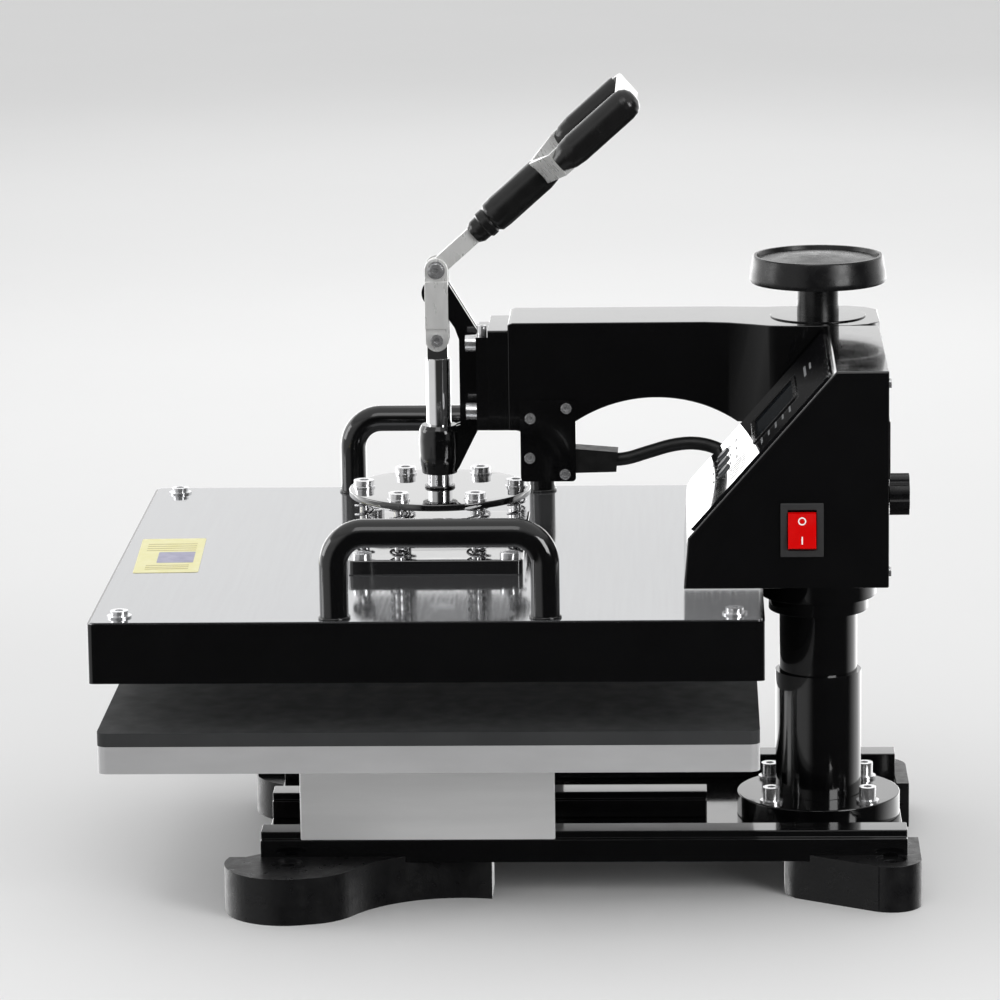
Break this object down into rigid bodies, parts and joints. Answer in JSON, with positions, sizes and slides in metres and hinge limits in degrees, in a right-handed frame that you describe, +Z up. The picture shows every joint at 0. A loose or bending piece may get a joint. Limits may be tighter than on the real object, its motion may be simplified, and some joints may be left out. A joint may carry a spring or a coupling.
{
  "type": "heat press",
  "caption": "Swing-away heat press: toggle lever, spring-mounted heated platen on a turning arm, padded lower platen, cast feet and a slanted control box.",
  "frame": {"origin": "on the table surface, under the middle of the whole press's bounding box", "axes": "+Z up; +Y from the operator at the front towards the column at the back; +X to the operator's right, where the control box is"},
  "size_m": [0.3882, 0.479, 0.4771],
  "materials": {
    "black_paint": "gloss black powder coat",
    "black_cast": "satin black enamel on cast iron",
    "steel_sheet": "brushed stainless",
    "link_steel": "bright zinc plated steel",
    "aluminium": "satin milled",
    "bracket_metal": "satin sheet steel",
    "silicone": "matt grey silicone",
    "bright": "bright plated screws",
    "rod_chrome": "hard chrome",
    "dark_plastic": "black moulded, satin",
    "grip_rubber": "smooth black",
    "cord_rubber": "black sleeve",
    "panel_print": "semi-gloss overlay film",
    "display": "smoked window",
    "button_cap": "light grey",
    "red_rocker": "gloss red",
    "board": "green board",
    "winding": "copper winding and core",
    "bronze": "machined",
    "spring_steel": "oiled spring wire",
    "label_film": "matt pale yellow film"
  },
  "bodies": {
    "base": {"base_deck": "black_paint", "side_rails": "black_paint", "centre_rail": "black_paint", "foot_front_right": "black_cast", "foot_front_left": "black_cast", "foot_rear_right": "black_cast", "foot_rear_left": "black_cast", "column_flange": "black_paint", "column_sleeve": "black_paint", "flange_bolts": "bright", "support_bracket": "bracket_metal", "platen_screws": "bright", "lower_platen": "aluminium", "silicone_pad": "silicone", "column_post": "black_paint", "post_nut": "bronze"},
    "arm": {"swing_arm": "black_paint", "hub_cap": "black_paint", "arm_end_plate": "black_paint", "front_bracket": "black_paint", "bracket_bolts": "bright", "lever_pin": "bright", "cable_plate": "black_paint", "cable_boot": "cord_rubber", "platen_cord": "cord_rubber", "case_screws": "bright", "control_box": "black_paint", "box_back": "black_paint", "display_panel": "panel_print", "display_window": "display", "switch_bezel": "dark_plastic", "power_inlet": "dark_plastic", "circuit_board": "board", "transformer": "winding"},
    "pressure_wheel": {"hand_wheel": "dark_plastic", "pressure_screw": "bright"},
    "lock": {"lock_knob": "dark_plastic"},
    "rocker": {"power_rocker": "red_rocker"},
    "key_up": {"button_up": "button_cap"},
    "key_down": {"button_down": "button_cap"},
    "key_set": {"button_set": "button_cap"},
    "lever": {"lever_bar": "link_steel", "stem_grip": "grip_rubber", "stirrup_grips": "grip_rubber", "link_pin": "bright"},
    "link": {"toggle_link": "link_steel", "link_bolts": "bright"},
    "plunger": {"plunger_rod": "rod_chrome", "rod_collar": "black_paint", "press_disc": "black_paint", "disc_springs": "spring_steel"},
    "platen": {"disc_bolts": "bright", "spring_plate": "black_paint", "platen_cover": "black_paint", "cover_sheet": "steel_sheet", "cover_screws": "bright", "heat_platen": "aluminium", "carry_handle_right": "black_paint", "carry_handle_left": "black_paint", "rating_label": "label_film"}
  },
  "joints": [
    {"name": "arm_swing", "type": "hinge", "parent": "base", "child": "arm", "pos_m": [0, 0.1815, 0.2], "axis": [0, 0, 1], "range_deg": [-170, 170]},
    {"name": "wheel_turn", "type": "hinge", "parent": "arm", "child": "pressure_wheel", "pos_m": [0, 0.1815, 0.36], "axis": [0, 0, 1], "continuous": true},
    {"name": "lock_turn", "type": "hinge", "parent": "arm", "child": "lock", "pos_m": [0, 0.2285, 0.2247], "axis": [0, 1, 0], "continuous": true},
    {"name": "rocker_tilt", "type": "hinge", "parent": "arm", "child": "rocker", "pos_m": [0.187, 0.1675, 0.2435], "axis": [0, 1, 0], "range_deg": [0, 12]},
    {"name": "key_up_press", "type": "slide", "parent": "arm", "child": "key_up", "axis": [0, 0.7494, -0.6621], "range_m": [0, 0.001], "stiffness_N_per_m": 300, "springref_m": -0.001},
    {"name": "key_down_press", "type": "slide", "parent": "arm", "child": "key_down", "axis": [0, 0.7494, -0.6621], "range_m": [0, 0.001], "stiffness_N_per_m": 300, "springref_m": -0.001},
    {"name": "key_set_press", "type": "slide", "parent": "arm", "child": "key_set", "axis": [0, 0.7494, -0.6621], "range_m": [0, 0.001], "stiffness_N_per_m": 300, "springref_m": -0.001},
    {"name": "press_stroke", "type": "slide", "parent": "arm", "child": "plunger", "axis": [0, 0, 1], "range_m": [-0.029, 0]},
    {"name": "lever_turn", "type": "hinge", "parent": "arm", "child": "lever", "pos_m": [0, -0.0465, 0.3501], "axis": [1, 0, 0], "range_deg": [0, 180]},
    {"name": "link_turn", "type": "hinge", "parent": "lever", "child": "link", "pos_m": [0, -0.0465, 0.3646], "axis": [1, 0, 0], "range_deg": [-180, 0]},
    {"name": "platen_float", "type": "slide", "parent": "plunger", "child": "platen", "axis": [0, 0, 1], "range_m": [0, 0.004], "stiffness_N_per_m": 8000, "springref_m": -0.005, "deforming": ["disc_springs"]}
  ],
  "couplings": [
    {"joint": "lever_turn", "follows": "press_stroke", "rad_per_m": -108.33},
    {"joint": "link_turn", "follows": "press_stroke", "rad_per_m": 108.33}
  ]
}
